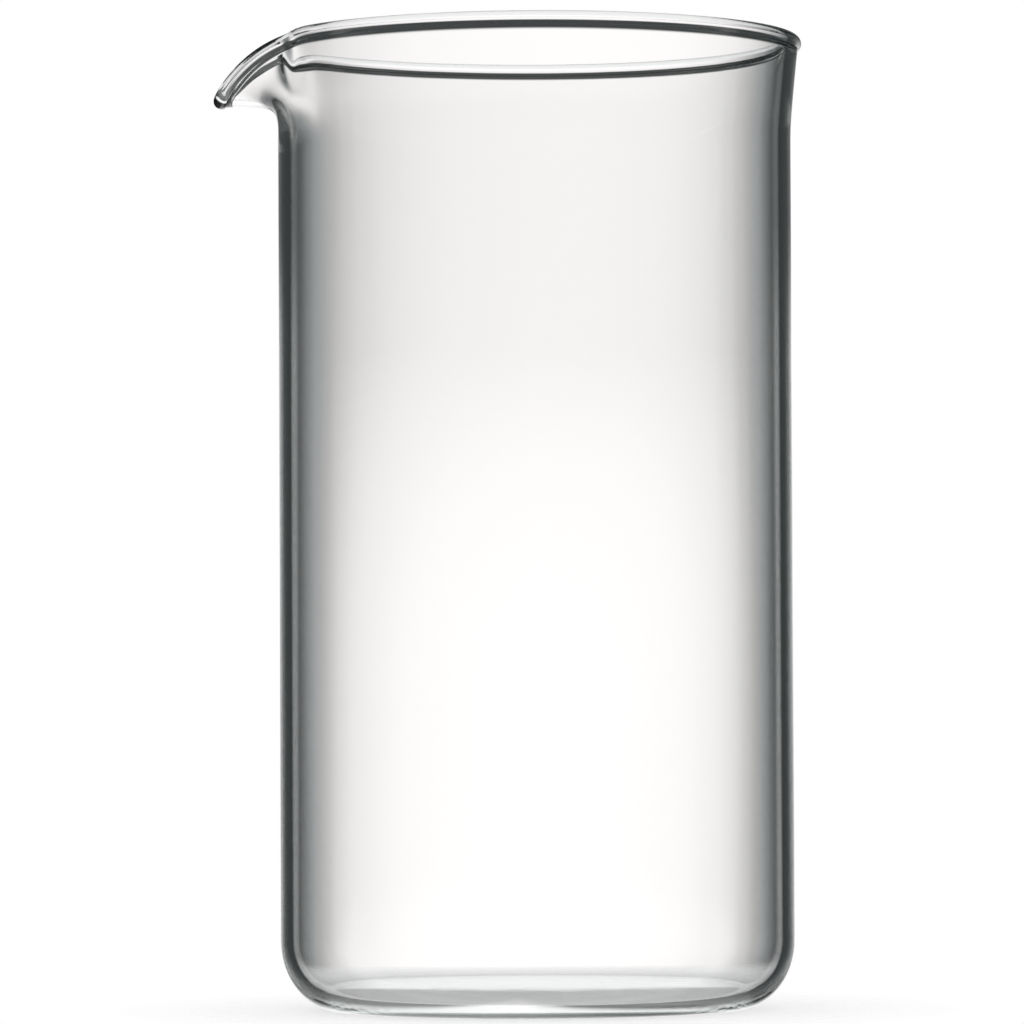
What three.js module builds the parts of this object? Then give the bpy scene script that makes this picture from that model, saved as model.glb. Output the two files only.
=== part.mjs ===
// Glass coffee carafe: one piece of clear, blown borosilicate glass.
// A straight tube with a flat bottom and a round heel. The collar, the top of the tube, is flared,
// melted into a round bead at the rim, and drawn out and down on one side into a spout.
// Millimetres, +Z up. The origin is the centre of the flat bottom and the spout points to -X.

import * as THREE from 'three';

// Body
const BODY_DIAMETER = 71;
const HEIGHT = 134.4;
const WALL = 1.65;
const BOTTOM = 1.8;

// Heel: an elliptical corner, measured in from the wall and up from the bottom
const HEEL_WIDTH = 7.8;
const HEEL_HEIGHT = 9.65;

// Rim: how far the wall flares out, the thickness of the bead it is melted into, and how far the bead
// stands out of the wall's outside, at the plain rim and at the tip of the spout
const RIM_FLARE = 1.12;
const BEAD = 2.1;
const RIM_BULGE = 0.44;
const TIP_BULGE = 0.2;

// Spout: width between its two kinks in the rim, reach past the rim, drop of its tip below the rim,
// the height in which the wall turns out into the spout's floor, and the floor's drawn-out thickness
const SPOUT_MOUTH = 24.5;
const SPOUT_REACH = 7.6;
const SPOUT_DROP = 7.95;
const SPOUT_BEND = 6.9;
const SPOUT_WALL = 0.85;

// Knees: how high above its foot the collar turns out, at the plain rim and in the spout
const RIM_KNEE = 3.9;
const SPOUT_KNEE = 7.4;

// Shape of the drawn lip: how round its tip is from above (in half mouths), how far its sides bulge
// from straight, how far past the kinks the rim still sags, and how steeply it falls towards the tip
const TIP_ROUND = 0.15;
const LIP_POINT = 1.15;
const SAG_SPREAD = 1.65;
const LIP_FALL = 2.9;

// How soft the kink at each end of the lip is at the rim, and the fold below it at the collar's foot,
// and how fast the kink softens down the collar
const KINK_SOFT = 0.07;
const FOLD_SOFT = 0.5;
const SOFTENING = 4;

// How much of the way up to its knee the collar is upright, and how far the knee stands out beside the
// spout's channel, as a share of the reach
const UPRIGHT = 0.9;
const SHELF = 0.3;

// Where along the collar's line, in shares, the drawn wall thins: at the spout's sides and in its floor
const SIDE_THINNING = [0.5, 1.05];
const FLOOR_THINNING = [0.15, 0.6];

// Fineness of the facets: around the axis, closer together round the spout, and along the section
const AROUND = 84;
const CROWDING = 0.62;
const HEEL_STEPS = 7;
const COLLAR_STEPS = 12;
const BEAD_STEPS = 9;

// Worked-out values
const bodyRadius = BODY_DIAMETER / 2;
const wallMiddle = bodyRadius - WALL / 2;
const collarRise = SPOUT_DROP + SPOUT_BEND;
const collarFoot = HEIGHT - BEAD / 2 - collarRise;
const mouthHalfAngle = Math.asin(SPOUT_MOUTH / 2 / (wallMiddle + RIM_FLARE));

// What the drawing tool does at an angle from the spout's middle and a share of the collar's line:
// how far it pulls the glass out, which ends at the kinks, and how far it lets the rim sag
function drawnAt(angle, share) {
  const across = Math.abs(angle) / mouthHalfAngle;
  const left = (Math.hypot(across, TIP_ROUND) - TIP_ROUND) ** LIP_POINT;
  const soft = THREE.MathUtils.lerp(FOLD_SOFT, KINK_SOFT, share ** SOFTENING);
  const pull = (1 - left + Math.hypot(1 - left, soft)) / 2;
  const sag = (1 - Math.min(left / SAG_SPREAD, 1)) ** LIP_FALL;
  return { pull, sag };
}

// The collar's wall at an angle and a share of its line, from the straight tube to the rim: its middle,
// the directions along and out of it, its thickness, and how far it is drawn
function collarAt(angle, share) {
  const { pull, sag } = drawnAt(angle, share);
  const drawn = Math.min(pull, 1);
  const rise = collarRise - SPOUT_DROP * sag;
  const knee = THREE.MathUtils.lerp(RIM_KNEE, SPOUT_KNEE, Math.sqrt(drawn));
  const shelf = SHELF * SPOUT_REACH * drawn * (1 - drawn ** 2);
  const line = new THREE.CubicBezierCurve(
    new THREE.Vector2(wallMiddle, collarFoot),
    new THREE.Vector2(wallMiddle, collarFoot + UPRIGHT * knee),
    new THREE.Vector2(wallMiddle + shelf, collarFoot + knee),
    new THREE.Vector2(wallMiddle + RIM_FLARE + SPOUT_REACH * pull, collarFoot + rise),
  );
  const along = line.getTangent(share);
  const outward = new THREE.Vector2(along.y, -along.x);
  const starts = THREE.MathUtils.lerp(SIDE_THINNING[0], FLOOR_THINNING[0], drawn);
  const ends = THREE.MathUtils.lerp(SIDE_THINNING[1], FLOOR_THINNING[1], drawn);
  const thinning = Math.sqrt(drawn) * THREE.MathUtils.smoothstep(share, starts, ends);
  const wall = THREE.MathUtils.lerp(WALL, SPOUT_WALL, thinning);
  return { middle: line.getPoint(share), along, outward, wall, drawn };
}

// The bead at an angle: its middle and directions, how far round it laps past a half circle on the
// outside and inside, and the shares of the collar's line where its two necks are
function beadAt(angle) {
  const { middle, along, outward, wall, drawn } = collarAt(angle, 1);
  const aside = wall / 2 + THREE.MathUtils.lerp(RIM_BULGE, TIP_BULGE, drawn) - BEAD / 2;
  const outerLap = Math.acos(Math.min((wall - 2 * aside) / BEAD, 1));
  const innerLap = Math.acos(Math.min((wall + 2 * aside) / BEAD, 1));
  const sharePerLength = 0.05 / middle.distanceTo(collarAt(angle, 0.95).middle);
  return {
    centre: middle.clone().addScaledVector(outward, aside),
    along,
    outward,
    outerLap,
    innerLap,
    outerNeck: 1 - BEAD / 2 * Math.sin(outerLap) * sharePerLength,
    innerNeck: 1 - BEAD / 2 * Math.sin(innerLap) * sharePerLength,
  };
}

// A point of the heel: the outer corner, or the inner one that leaves the wall and the bottom their thickness
function heelPoint(step, wall, bottom) {
  const turn = step / HEEL_STEPS * Math.PI / 2;
  return new THREE.Vector2(
    bodyRadius - HEEL_WIDTH + (HEEL_WIDTH - wall) * Math.sin(turn),
    HEEL_HEIGHT - (HEEL_HEIGHT - bottom) * Math.cos(turn),
  );
}

// The glass cut through its axis: out along the bottom, up the outside, over the bead, down the inside
function section(angle) {
  const outside = [new THREE.Vector2(0, 0)];
  const inside = [new THREE.Vector2(0, BOTTOM)];
  for (let step = 0; step <= HEEL_STEPS; step += 1) {
    outside.push(heelPoint(step, 0, 0));
    inside.push(heelPoint(step, WALL, BOTTOM));
  }
  const bead = beadAt(angle);
  for (let step = 0; step <= COLLAR_STEPS; step += 1) {
    const outer = collarAt(angle, bead.outerNeck * step / COLLAR_STEPS);
    const inner = collarAt(angle, bead.innerNeck * step / COLLAR_STEPS);
    outside.push(outer.middle.addScaledVector(outer.outward, outer.wall / 2));
    inside.push(inner.middle.addScaledVector(inner.outward, -inner.wall / 2));
  }
  for (let step = 1; step < BEAD_STEPS; step += 1) {
    const turn = THREE.MathUtils.lerp(-bead.outerLap, Math.PI + bead.innerLap, step / BEAD_STEPS);
    outside.push(bead.centre.clone()
      .addScaledVector(bead.outward, BEAD / 2 * Math.cos(turn))
      .addScaledVector(bead.along, BEAD / 2 * Math.sin(turn)));
  }
  return [...outside, ...inside.reverse()];
}

// The plain section revolved, then each column of points set on the section at its own angle
function blownGlass() {
  const plain = section(Math.PI);
  const geometry = new THREE.LatheGeometry(plain, AROUND);
  const position = geometry.getAttribute('position');
  for (let column = 0; column <= AROUND; column += 1) {
    const even = (column % AROUND) / AROUND * 2 * Math.PI;
    const angle = even - CROWDING * Math.sin(even);
    const fromSpout = Math.min(angle, 2 * Math.PI - angle);
    section(fromSpout).forEach((point, row) => {
      const x = -point.x * Math.cos(angle);
      const y = -point.x * Math.sin(angle);
      position.setXYZ(column * plain.length + row, x, y, point.y);
    });
  }
  geometry.computeVertexNormals();
  return geometry;
}

const clearGlass = new THREE.MeshStandardMaterial({
  color: 0xe8edeb,
  roughness: 0.03,
  metalness: 0,
  transparent: true,
  opacity: 0.35,
});

const carafe = new THREE.Group();
const glass = new THREE.Mesh(blownGlass(), clearGlass);
glass.name = 'glass_carafe';
carafe.add(glass);

export default carafe;
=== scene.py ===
import math

import bmesh
import bpy
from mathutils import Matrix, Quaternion, Vector


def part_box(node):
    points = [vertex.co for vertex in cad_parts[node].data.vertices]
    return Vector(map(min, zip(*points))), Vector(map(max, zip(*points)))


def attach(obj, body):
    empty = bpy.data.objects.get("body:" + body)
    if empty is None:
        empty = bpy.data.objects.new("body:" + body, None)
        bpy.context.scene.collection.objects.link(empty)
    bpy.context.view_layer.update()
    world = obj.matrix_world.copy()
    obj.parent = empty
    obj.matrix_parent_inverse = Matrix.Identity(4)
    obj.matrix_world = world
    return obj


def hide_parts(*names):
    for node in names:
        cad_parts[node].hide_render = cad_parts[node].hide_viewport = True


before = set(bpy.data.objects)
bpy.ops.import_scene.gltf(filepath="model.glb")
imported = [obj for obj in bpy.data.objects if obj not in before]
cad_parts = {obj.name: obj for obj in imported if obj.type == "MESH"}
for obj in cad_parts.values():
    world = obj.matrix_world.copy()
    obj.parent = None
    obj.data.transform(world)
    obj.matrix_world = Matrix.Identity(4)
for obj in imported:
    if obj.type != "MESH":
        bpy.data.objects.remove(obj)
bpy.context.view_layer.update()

# Blown glass: the whole carafe is one piece of clear borosilicate glass, a drawn tube whose bottom was
# closed flat. The collar was reheated, flared and melted to a bead, and the spout was drawn out of it.
MM = 0.001
BODY_RADIUS = 35.5 * MM
WALL = 1.65 * MM
BOTTOM = 1.8 * MM
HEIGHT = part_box("glass_carafe")[1][2]
HEEL_WIDTH = 7.8 * MM
HEEL_HEIGHT = 9.65 * MM
RIM_FLARE = 1.12 * MM
BEAD = 2.1 * MM
RIM_BULGE = 0.44 * MM    # how far the bead stands out of the wall's outside at the plain rim
SPOUT_BULGE = 0.2 * MM   # the same, at the tip of the spout
SPOUT_MOUTH = 24.5 * MM  # between the two kinks in the rim
SPOUT_REACH = 7.6 * MM   # past the rim
SPOUT_DROP = 7.95 * MM   # of the tip, below the rim
SPOUT_BEND = 6.9 * MM    # height in which the wall turns out into the spout's floor
SPOUT_WALL = 0.85 * MM   # the drawn-out thickness of that floor
RIM_KNEE = 3.9 * MM      # how high above its foot the collar turns out, at the plain rim
SPOUT_KNEE = 7.4 * MM    # the same, in the spout

WALL_MIDDLE = BODY_RADIUS - WALL / 2
COLLAR_RISE = SPOUT_DROP + SPOUT_BEND
COLLAR_FOOT = HEIGHT - BEAD / 2 - COLLAR_RISE
MOUTH_HALF_ANGLE = math.asin(SPOUT_MOUTH / 2 / (WALL_MIDDLE + RIM_FLARE))

TIP_ROUND = 0.15     # how round the tip of the lip is from above, in half mouths
LIP_POINT = 1.15     # 1 gives the lip straight sides from above, more makes them bulge
SAG_SPREAD = 1.65    # how far past the kinks the rim still sags, as a share of the pull
LIP_FALL = 2.9       # how steeply the lip falls towards the tip
KINK_SOFT = 0.07     # how soft the kink at each end of the lip is at the rim
FOLD_SOFT = 0.4      # how soft the fold below that kink has become at the foot of the collar
SOFTENING = 3        # how fast the kink softens down the collar
SHELF = 0.3          # how far the knee stands out beside the channel, as a share of the reach
UPRIGHT = 0.9        # how much of the way up to the knee the collar stays upright
SIDE_THINNING = (0.3, 1.05)  # where along the collar the drawn wall thins, at the sides of the spout
FLOOR_THINNING = (0.0, 0.7)  # the same, in the spout's floor
NECK_SHARE = 0.05    # the last stretch of the collar, on which the bead's two necks are placed

# Fineness of the mesh around the axis, where columns crowd towards the spout, and along the section
AROUND = 420
CROWDING = 0.6
HEEL_STEPS = 20
WALL_STEPS = 12
COLLAR_STEPS = 40
BEAD_STEPS = 24


def smooth_step(value, low, high):
    share = min(max((value - low) / (high - low), 0), 1)
    return share * share * (3 - 2 * share)


def mix(low, high, share):
    return low + (high - low) * share


def drawn_at(angle, share):
    """How far the glass is pulled out and let sag, at an angle from the spout and a share of the collar."""
    across = abs(angle) / MOUTH_HALF_ANGLE
    left = (math.hypot(across, TIP_ROUND) - TIP_ROUND) ** LIP_POINT
    soft = mix(FOLD_SOFT, KINK_SOFT, share ** SOFTENING)
    pull = (1 - left + math.hypot(1 - left, soft)) / 2
    sag = (1 - min(left / SAG_SPREAD, 1)) ** LIP_FALL
    return pull, sag


def collar_at(angle, share):
    """Middle of the collar's wall, directions along and out of it, thickness, and how far it is drawn."""
    pull, sag = drawn_at(angle, share)
    drawn = min(pull, 1)
    up = COLLAR_RISE - SPOUT_DROP * sag
    knee = mix(RIM_KNEE, SPOUT_KNEE, math.sqrt(drawn))
    shelf = SHELF * SPOUT_REACH * drawn * (1 - drawn ** 2)
    points = [
        Vector((WALL_MIDDLE, COLLAR_FOOT)),
        Vector((WALL_MIDDLE, COLLAR_FOOT + UPRIGHT * knee)),
        Vector((WALL_MIDDLE + shelf, COLLAR_FOOT + knee)),
        Vector((WALL_MIDDLE + RIM_FLARE + SPOUT_REACH * pull, COLLAR_FOOT + up)),
    ]
    while len(points) > 2:
        points = [a.lerp(b, share) for a, b in zip(points, points[1:])]
    along = (points[1] - points[0]).normalized()
    thinning = [mix(side, floor, drawn) for side, floor in zip(SIDE_THINNING, FLOOR_THINNING)]
    wall = mix(WALL, SPOUT_WALL, math.sqrt(drawn) * smooth_step(share, *thinning))
    return points[0].lerp(points[1], share), along, Vector((along.y, -along.x)), wall, drawn


def heel_point(step, wall, bottom):
    """A point of the heel's corner, moved in by the wall's thickness and up by the bottom's."""
    turn = step / HEEL_STEPS * math.pi / 2
    return Vector((
        BODY_RADIUS - HEEL_WIDTH + (HEEL_WIDTH - wall) * math.sin(turn),
        HEEL_HEIGHT - (HEEL_HEIGHT - bottom) * math.cos(turn),
    ))


def glass_section(angle):
    """The glass cut through its axis: along the bottom, up the outside, over the bead, down the inside."""
    outside = [Vector((0, 0))]
    inside = [Vector((0, BOTTOM))]
    for step in range(HEEL_STEPS + 1):
        outside.append(heel_point(step, 0, 0))
        inside.append(heel_point(step, WALL, BOTTOM))
    for step in range(1, WALL_STEPS):
        height = mix(HEEL_HEIGHT, COLLAR_FOOT, step / WALL_STEPS)
        outside.append(Vector((BODY_RADIUS, height)))
        inside.append(Vector((BODY_RADIUS - WALL, height)))
    rim, along, outward, wall, drawn = collar_at(angle, 1)
    aside = wall / 2 + mix(RIM_BULGE, SPOUT_BULGE, drawn) - BEAD / 2
    bead = rim + outward * aside
    outer_lap = math.acos(min((wall - 2 * aside) / BEAD, 1))
    inner_lap = math.acos(min((wall + 2 * aside) / BEAD, 1))
    below_rim = collar_at(angle, 1 - NECK_SHARE)[0]
    share_per_length = NECK_SHARE / (rim - below_rim).length
    outer_neck = 1 - BEAD / 2 * math.sin(outer_lap) * share_per_length
    inner_neck = 1 - BEAD / 2 * math.sin(inner_lap) * share_per_length
    for step in range(COLLAR_STEPS + 1):
        point, _, out, wall, _ = collar_at(angle, outer_neck * step / COLLAR_STEPS)
        outside.append(point + out * wall / 2)
        point, _, out, wall, _ = collar_at(angle, inner_neck * step / COLLAR_STEPS)
        inside.append(point - out * wall / 2)
    for step in range(1, BEAD_STEPS):
        turn = mix(-outer_lap, math.pi + inner_lap, step / BEAD_STEPS)
        outside.append(bead + BEAD / 2 * (outward * math.cos(turn) + along * math.sin(turn)))
    return outside + inside[::-1]


# The plain section is spun round the axis, and each column of points is then set on its own section.
# The columns stand closer together round the spout.
glass_mesh = bmesh.new()
row_of = glass_mesh.verts.layers.int.new("row")
outline = []
for row, point in enumerate(glass_section(math.pi)):
    vert = glass_mesh.verts.new((-point.x, 0, point.y))
    vert[row_of] = row
    outline.append(vert)
edges = [glass_mesh.edges.new(pair) for pair in zip(outline, outline[1:])]
bmesh.ops.spin(glass_mesh, geom=outline + edges, cent=(0, 0, 0), axis=(0, 0, 1),
               angle=2 * math.pi, steps=AROUND, use_merge=True)
bmesh.ops.remove_doubles(glass_mesh, verts=glass_mesh.verts, dist=0.001 * MM)
sections = {}
for vert in glass_mesh.verts:
    even = math.atan2(vert.co.y, -vert.co.x)
    angle = even - CROWDING * math.sin(even)
    column = round(even / (2 * math.pi) * AROUND)
    if column not in sections:
        sections[column] = glass_section(angle)
    point = sections[column][vert[row_of]]
    vert.co = (-point.x * math.cos(angle), point.x * math.sin(angle), point.y)
bmesh.ops.recalc_face_normals(glass_mesh, faces=glass_mesh.faces)
for face in glass_mesh.faces:
    face.smooth = True
glass_mesh.verts.layers.int.remove(row_of)
mesh = bpy.data.meshes.new("blown_glass")
glass_mesh.to_mesh(mesh)
glass_mesh.free()
blown_glass = bpy.data.objects.new("blown_glass", mesh)
bpy.context.scene.collection.objects.link(blown_glass)


def linear(hex_colour):
    """An sRGB hex colour as linear red, green, blue and alpha."""
    shares = [int(hex_colour[i:i + 2], 16) / 255 for i in (0, 2, 4)]
    return [s / 12.92 if s <= 0.04045 else ((s + 0.055) / 1.055) ** 2.4 for s in shares] + [1]


def add_node(tree, kind, sockets=None, **settings):
    """Adds a node, sets its settings, and sets or links its sockets."""
    made = tree.nodes.new(kind)
    for name, value in settings.items():
        setattr(made, name, value)
    for name, value in (sockets or {}).items():
        if isinstance(value, bpy.types.NodeSocket):
            tree.links.new(value, made.inputs[name])
        else:
            made.inputs[name].default_value = value
    return made


# Borosilicate glass, drawn and fire-polished: clear and glossy, a cool grey-green where the eye looks along
# the wall. The drawing leaves faint upright waves, and washing leaves a bloom too thin to see straight on.
GLASS_TINT = linear("f3f6f5")
TINT_PER_METRE = 70.0
GLASS_IOR = 1.473
WAVE_WIDTH = 5 * MM
WAVE_LENGTH = 80 * MM
WAVE_HEIGHT = 0.008 * MM
BLOOM_SIZE = 18 * MM
BLOOM_PATCHES = (0.45, 0.75)  # from clear glass to full bloom, in shares of the noise
BLOOM_ROUGHNESS = 0.012
material = bpy.data.materials.new("borosilicate_glass")
material.use_nodes = True
tree = material.node_tree
tree.nodes.clear()
place = add_node(tree, "ShaderNodeTexCoord")
stretched = add_node(tree, "ShaderNodeMapping", {
    "Vector": place.outputs["Object"],
    "Scale": (1, 1, WAVE_WIDTH / WAVE_LENGTH),
})
waves = add_node(tree, "ShaderNodeTexNoise", {
    "Vector": stretched.outputs["Vector"],
    "Scale": 1 / WAVE_WIDTH,
    "Detail": 1.0,
})
relief = add_node(tree, "ShaderNodeBump", {
    "Height": waves.outputs["Fac"],
    "Strength": 1.0,
    "Distance": WAVE_HEIGHT,
})
bloom = add_node(tree, "ShaderNodeTexNoise", {
    "Vector": place.outputs["Object"],
    "Scale": 1 / BLOOM_SIZE,
    "Detail": 3.0,
})
dulled = add_node(tree, "ShaderNodeMapRange", {
    "Value": bloom.outputs["Fac"],
    "From Min": BLOOM_PATCHES[0],
    "From Max": BLOOM_PATCHES[1],
    "To Max": BLOOM_ROUGHNESS,
})
surface = add_node(tree, "ShaderNodeBsdfPrincipled", {
    "Base Color": (1, 1, 1, 1),
    "Roughness": dulled.outputs["Result"],
    "IOR": GLASS_IOR,
    "Transmission Weight": 1.0,
    "Normal": relief.outputs["Normal"],
})
depth = add_node(tree, "ShaderNodeVolumeAbsorption", {
    "Color": GLASS_TINT,
    "Density": TINT_PER_METRE,
})
add_node(tree, "ShaderNodeOutputMaterial", {
    "Surface": surface.outputs["BSDF"],
    "Volume": depth.outputs["Volume"],
})
blown_glass.data.materials.append(material)
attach(blown_glass, "root")
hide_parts("glass_carafe")

# Floor: a pale matt table top under the carafe. It fades out into the white surroundings, so that no edge
# shows, and most of its light is its own, so that the carafe's shadow on it stays pale. What the glass
# mirrors leaves it out, because the studio below gives the glass its table.
FLOOR_RADIUS = 65 * MM
FLOOR_FADE = (36 * MM, 60 * MM)
FLOOR_GAP = 0.05 * MM
FLOOR_WHITE = linear("fdfdfd")
FLOOR_OWN_LIGHT = 0.65
floor_mesh = bmesh.new()
bmesh.ops.create_circle(floor_mesh, cap_ends=True, radius=FLOOR_RADIUS, segments=128)
bmesh.ops.translate(floor_mesh, verts=floor_mesh.verts, vec=(0, 0, -FLOOR_GAP))
mesh = bpy.data.meshes.new("floor")
floor_mesh.to_mesh(mesh)
floor_mesh.free()
floor = bpy.data.objects.new("floor", mesh)
bpy.context.scene.collection.objects.link(floor)
material = bpy.data.materials.new("matt_white_table")
material.use_nodes = True
tree = material.node_tree
tree.nodes.clear()
place = add_node(tree, "ShaderNodeTexCoord")
distance = add_node(tree, "ShaderNodeVectorMath", {0: place.outputs["Object"]}, operation="LENGTH")
fade = add_node(tree, "ShaderNodeMapRange", {
    "Value": distance.outputs["Value"],
    "From Min": FLOOR_FADE[0],
    "From Max": FLOOR_FADE[1],
}, interpolation_type="SMOOTHSTEP")
matt = add_node(tree, "ShaderNodeBsdfDiffuse", {"Color": FLOOR_WHITE})
lit = add_node(tree, "ShaderNodeEmission", {"Color": (1, 1, 1, 1), "Strength": 1.0})
paled = add_node(tree, "ShaderNodeMixShader", {
    0: FLOOR_OWN_LIGHT,
    1: matt.outputs["BSDF"],
    2: lit.outputs["Emission"],
})
gone = add_node(tree, "ShaderNodeBsdfTransparent")
ray = add_node(tree, "ShaderNodeLightPath")
left_out = add_node(tree, "ShaderNodeMath", {
    0: fade.outputs["Result"],
    1: ray.outputs["Glossy Depth"],
}, operation="MAXIMUM")
mixed = add_node(tree, "ShaderNodeMixShader", {
    0: left_out.outputs[0],
    1: paled.outputs["Shader"],
    2: gone.outputs["BSDF"],
})
add_node(tree, "ShaderNodeOutputMaterial", {"Surface": mixed.outputs["Shader"]})
floor.data.materials.append(material)

# Studio: plain white all round for the eye and for the floor, and a light tent for the glass. It bends
# four white walls that fade sideways and upwards, with dark gaps between them that draw its edges, a
# dark ceiling and a white table. It mirrors only the table and a bright strip straight ahead.
TENT_ASIDE = 0.25             # degrees that the walls' middles stand to the right
TENT_LEAN = 0.08              # how far they lean further right, for one unit up
SHADE_RISE = (3.2, 3.9)       # degrees up at which a wall stops fading, and degrees sideways that equal it
# Brightness of a white wall and of the dark gap beside it, by degrees from the middle of the wall
WALL_SHADE = ((0, 1.2), (1.5, 1.17), (2.8, 1.13), (4.5, 1.0), (5.3, 0.9), (6.3, 0.74), (7.5, 0.57),
              (8.8, 0.47), (10.2, 0.37), (12.2, 0.23), (14.2, 0.15), (16.6, 0.22), (20.6, 0.32),
              (26, 0.12), (31, 0.03), (38, 0.05), (45, 0.5))
WARM = (1.02, 1, 0.995)
COOL = (0.97, 1, 1.01)
WARM_WITHIN = 8               # degrees from the middle of a wall
WHITE = (1, 1, 1, 1)
CEILING = (0.04, 0.045, 0.045, 1)
CEILING_EDGE = (8, 14)        # degrees up
TABLE_EDGE = (-6, -14)        # degrees up
STRIP = (1.1, 1.1, 1.1, 1)
STRIP_EDGE = (3.5, 16)        # degrees sideways
STRIP_TOP = (3, 4.5)          # degrees up
STRIP_ABOVE = 0.25            # how much of the strip is left above its top
STRIP_BEHIND = 0.1            # how much of it there is beside and behind, above the table
NEAR_TABLE = (0.4, 0.4, 0.4, 1)
FAR_SIDE = (-0.3, 0.3)        # from the near side of the tent to its far side, in shares of the way
MIRRORED_TABLE_EDGE = (-1.5, -4)  # degrees up
SIDE_TABLE = (0.22, 0.22, 0.22, 1)
SIDE_TABLE_EDGE = (-20, -45)  # degrees up


def slope(degrees):
    """How far a direction leaves the straight line ahead, for one unit ahead."""
    return math.tan(math.radians(degrees))


world = bpy.data.worlds.new("light_tent")
bpy.context.scene.world = world
world.use_nodes = True
tree = world.node_tree
tree.nodes.clear()

# The direction, as slopes sideways and upwards from the middle of the nearest wall
place = add_node(tree, "ShaderNodeTexCoord")
axes = add_node(tree, "ShaderNodeSeparateXYZ", {"Vector": place.outputs["Generated"]})
shift = add_node(tree, "ShaderNodeMath", {
    0: axes.outputs["Z"],
    1: TENT_LEAN,
    2: slope(TENT_ASIDE),
}, operation="MULTIPLY_ADD")
shifted = add_node(tree, "ShaderNodeMath", {
    0: axes.outputs["X"],
    1: shift.outputs[0],
}, operation="SUBTRACT")
side_x = add_node(tree, "ShaderNodeMath", {0: shifted.outputs[0]}, operation="ABSOLUTE")
side_y = add_node(tree, "ShaderNodeMath", {0: axes.outputs["Y"]}, operation="ABSOLUTE")
ahead = add_node(tree, "ShaderNodeMath", {0: side_x.outputs[0], 1: side_y.outputs[0]}, operation="MAXIMUM")
aside = add_node(tree, "ShaderNodeMath", {0: side_x.outputs[0], 1: side_y.outputs[0]}, operation="MINIMUM")
sideways = add_node(tree, "ShaderNodeMath", {0: aside.outputs[0], 1: ahead.outputs[0]}, operation="DIVIDE")
upwards = add_node(tree, "ShaderNodeMath", {0: axes.outputs["Z"], 1: ahead.outputs[0]}, operation="DIVIDE")

# What the glass bends
above = add_node(tree, "ShaderNodeMapRange", {
    "Value": upwards.outputs[0],
    "From Max": slope(SHADE_RISE[0]),
    "To Max": slope(SHADE_RISE[1]),
})
off_centre = add_node(tree, "ShaderNodeCombineXYZ", {
    "X": sideways.outputs[0],
    "Y": above.outputs["Result"],
})
away = add_node(tree, "ShaderNodeVectorMath", {0: off_centre.outputs["Vector"]}, operation="LENGTH")
walls = add_node(tree, "ShaderNodeValToRGB", {"Fac": away.outputs["Value"]})
stops = walls.color_ramp.elements
for index, (degrees, shade) in enumerate(WALL_SHADE):
    if index >= len(stops):
        stops.new(1)
    tone = WARM if degrees < WARM_WITHIN else COOL
    stops[index].position = slope(degrees)
    stops[index].color = [shade * share for share in tone] + [1]
ceiling_share = add_node(tree, "ShaderNodeMapRange", {
    "Value": upwards.outputs[0],
    "From Min": slope(CEILING_EDGE[0]),
    "From Max": slope(CEILING_EDGE[1]),
}, interpolation_type="SMOOTHSTEP")
under_ceiling = add_node(tree, "ShaderNodeMix", {
    "Factor": ceiling_share.outputs["Result"],
    6: walls.outputs["Color"],
    7: CEILING,
}, data_type="RGBA")
table_share = add_node(tree, "ShaderNodeMapRange", {
    "Value": upwards.outputs[0],
    "From Min": slope(TABLE_EDGE[0]),
    "From Max": slope(TABLE_EDGE[1]),
}, interpolation_type="SMOOTHSTEP")
bent = add_node(tree, "ShaderNodeMix", {
    "Factor": table_share.outputs["Result"],
    6: under_ceiling.outputs[2],
    7: WHITE,
}, data_type="RGBA")

# What the glass mirrors
side_table_share = add_node(tree, "ShaderNodeMapRange", {
    "Value": upwards.outputs[0],
    "From Min": slope(SIDE_TABLE_EDGE[0]),
    "From Max": slope(SIDE_TABLE_EDGE[1]),
}, interpolation_type="SMOOTHSTEP")
beside = add_node(tree, "ShaderNodeMix", {
    "Factor": side_table_share.outputs["Result"],
    6: CEILING,
    7: SIDE_TABLE,
}, data_type="RGBA")
beside_share = add_node(tree, "ShaderNodeMapRange", {
    "Value": sideways.outputs[0],
    "From Min": slope(STRIP_EDGE[0]),
    "From Max": slope(STRIP_EDGE[1]),
}, interpolation_type="SMOOTHSTEP")
strip = add_node(tree, "ShaderNodeMix", {
    "Factor": beside_share.outputs["Result"],
    6: STRIP,
    7: beside.outputs[2],
}, data_type="RGBA")
far_share = add_node(tree, "ShaderNodeMapRange", {
    "Value": axes.outputs["Y"],
    "From Min": FAR_SIDE[0],
    "From Max": FAR_SIDE[1],
}, interpolation_type="SMOOTHSTEP")
bright = add_node(tree, "ShaderNodeMix", {
    "Factor": far_share.outputs["Result"],
    6: NEAR_TABLE,
    7: strip.outputs[2],
}, data_type="RGBA")
below_share = add_node(tree, "ShaderNodeMapRange", {
    "Value": upwards.outputs[0],
    "From Min": slope(MIRRORED_TABLE_EDGE[0]),
    "From Max": slope(MIRRORED_TABLE_EDGE[1]),
}, interpolation_type="SMOOTHSTEP")
low_share = add_node(tree, "ShaderNodeMapRange", {
    "Value": upwards.outputs[0],
    "From Min": slope(STRIP_TOP[0]),
    "From Max": slope(STRIP_TOP[1]),
    "To Min": 1.0,
    "To Max": STRIP_ABOVE,
}, interpolation_type="SMOOTHSTEP")
ahead_share = add_node(tree, "ShaderNodeMapRange", {
    "Value": axes.outputs["Y"],
    "To Min": STRIP_BEHIND,
    "To Max": low_share.outputs["Result"],
})
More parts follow.
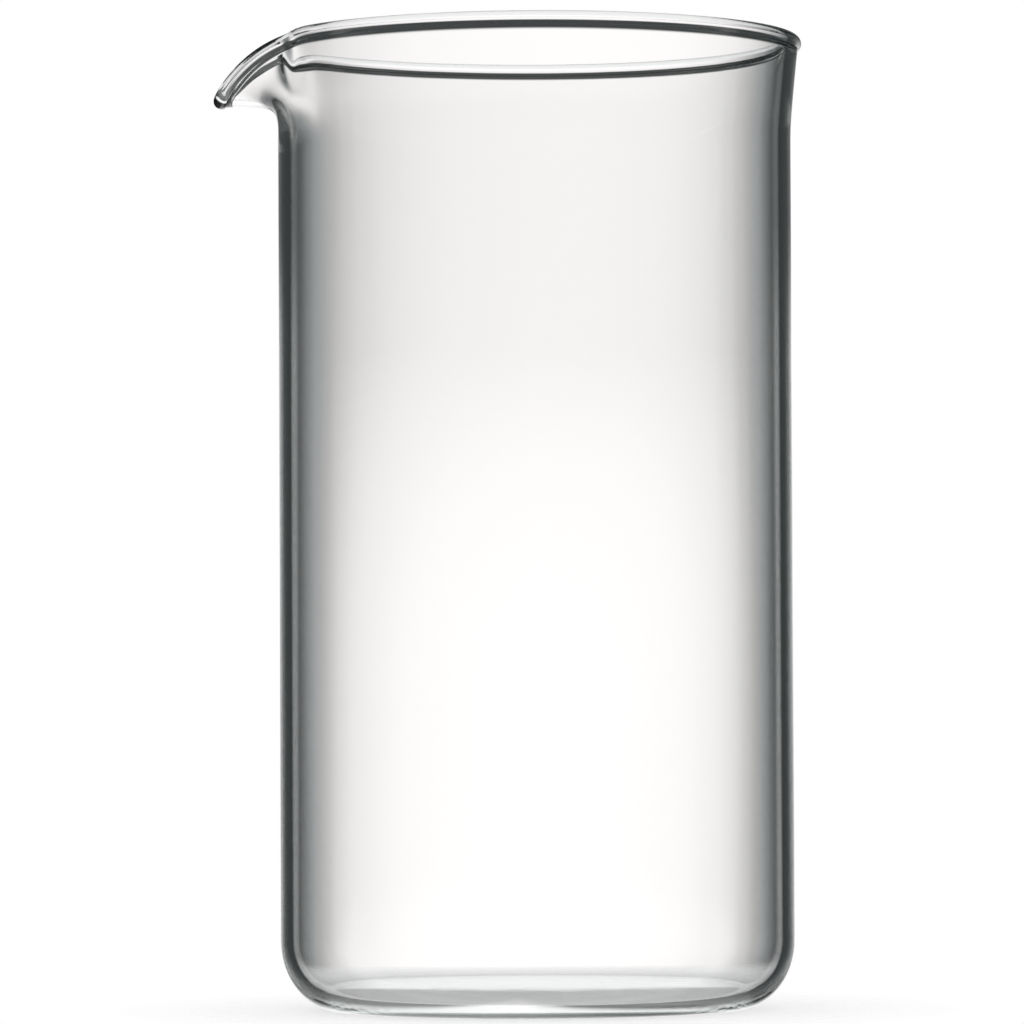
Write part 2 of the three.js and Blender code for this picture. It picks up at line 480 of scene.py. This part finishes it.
bright_share = add_node(tree, "ShaderNodeMath", {
    0: below_share.outputs["Result"],
    1: ahead_share.outputs["Result"],
}, operation="MAXIMUM")
mirrored = add_node(tree, "ShaderNodeMix", {
    "Factor": bright_share.outputs[0],
    6: CEILING,
    7: bright.outputs[2],
}, data_type="RGBA")

# Who looks: a path that was mirrored in the glass, one that was only bent, or the eye and the floor
ray = add_node(tree, "ShaderNodeLightPath")
by_glass = add_node(tree, "ShaderNodeMix", {
    "Factor": ray.outputs["Glossy Depth"],
    6: bent.outputs[2],
    7: mirrored.outputs[2],
}, data_type="RGBA")
to_the_eye = add_node(tree, "ShaderNodeMath", {
    0: ray.outputs["Is Camera Ray"],
    1: ray.outputs["Diffuse Depth"],
}, operation="MAXIMUM")
seen = add_node(tree, "ShaderNodeMix", {
    "Factor": to_the_eye.outputs[0],
    6: by_glass.outputs[2],
    7: WHITE,
}, data_type="RGBA")
light = add_node(tree, "ShaderNodeBackground", {"Color": seen.outputs[2], "Strength": 1.0})
add_node(tree, "ShaderNodeOutputWorld", {"Surface": light.outputs["Background"]})

# Camera: level with the lower third of the carafe and looking slightly up, as in the photograph.
# Light may cross the bottom of the glass in many steps, so its paths are long.
CAMERA_PLACE = Vector((0, -857, 43.5)) * MM
CAMERA_AIM = Vector((-3.31, 0, 68.66)) * MM
CAMERA_ROLL = math.radians(-0.246)
FIELD = 141.8 * MM
SENSOR = 36
camera = bpy.data.cameras.new("camera")
camera.sensor_width = SENSOR
camera.lens = SENSOR * (CAMERA_AIM - CAMERA_PLACE).length / FIELD
viewer = bpy.data.objects.new("camera", camera)
bpy.context.scene.collection.objects.link(viewer)
viewer.location = CAMERA_PLACE
viewer.rotation_mode = "QUATERNION"
viewer.rotation_quaternion = (
    (CAMERA_AIM - CAMERA_PLACE).to_track_quat("-Z", "Y") @ Quaternion((0, 0, 1), CAMERA_ROLL)
)
bpy.context.scene.camera = viewer
bpy.context.scene.view_settings.view_transform = "Standard"
bpy.context.scene.cycles.transmission_bounces = 24
bpy.context.scene.cycles.glossy_bounces = 48
bpy.context.scene.cycles.max_bounces = 64
